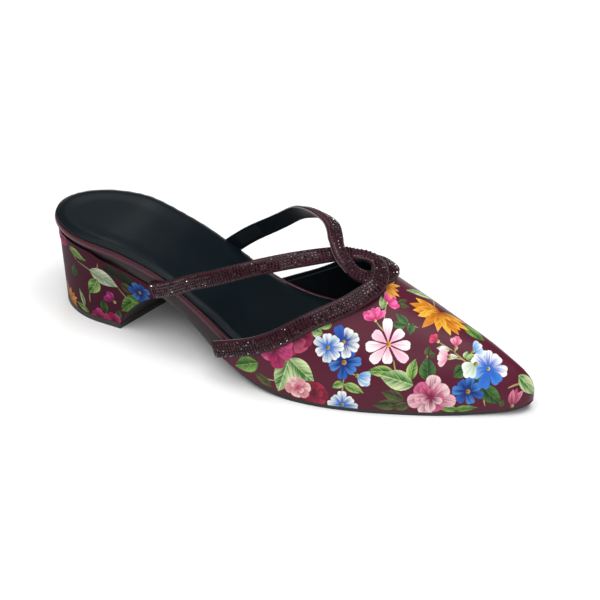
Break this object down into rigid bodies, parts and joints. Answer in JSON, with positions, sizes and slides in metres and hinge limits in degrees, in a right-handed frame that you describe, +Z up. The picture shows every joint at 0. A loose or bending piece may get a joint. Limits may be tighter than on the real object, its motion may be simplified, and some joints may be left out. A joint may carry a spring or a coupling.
{
  "type": "mule",
  "caption": "Pointed satin mule with a floral printed vamp, linked beaded straps over an open heel, a padded insole and a low covered block heel",
  "frame": {"origin": "middle of the bounding box, on the floor", "axes": "+X from the heel to the toe, +Y to the inner (medial) side of the foot, +Z up"},
  "size_m": [0.2502, 0.0798, 0.074],
  "materials": {
    "outsole_rubber": "matte black moulded sheet with a smooth edge",
    "wrap_satin": "plain burgundy satin wrapped round the insole board",
    "sock_leather": "smooth padded blue-black synthetic leather",
    "heel_satin": "burgundy satin with a floral print",
    "lift_rubber": "matte dark rubber",
    "vamp_satin": "burgundy satin with a floral print, black lining inside",
    "beaded_strap": "rows of small dark wine faceted stones on a burgundy band with a black lining"
  },
  "bodies": {
    "root": {"outsole": "outsole_rubber", "midsole": "wrap_satin", "insole": "sock_leather", "heel": "heel_satin", "top_lift": "lift_rubber", "vamp": "vamp_satin", "strap_near": "beaded_strap", "strap_far": "beaded_strap"}
  },
  "joints": []
}
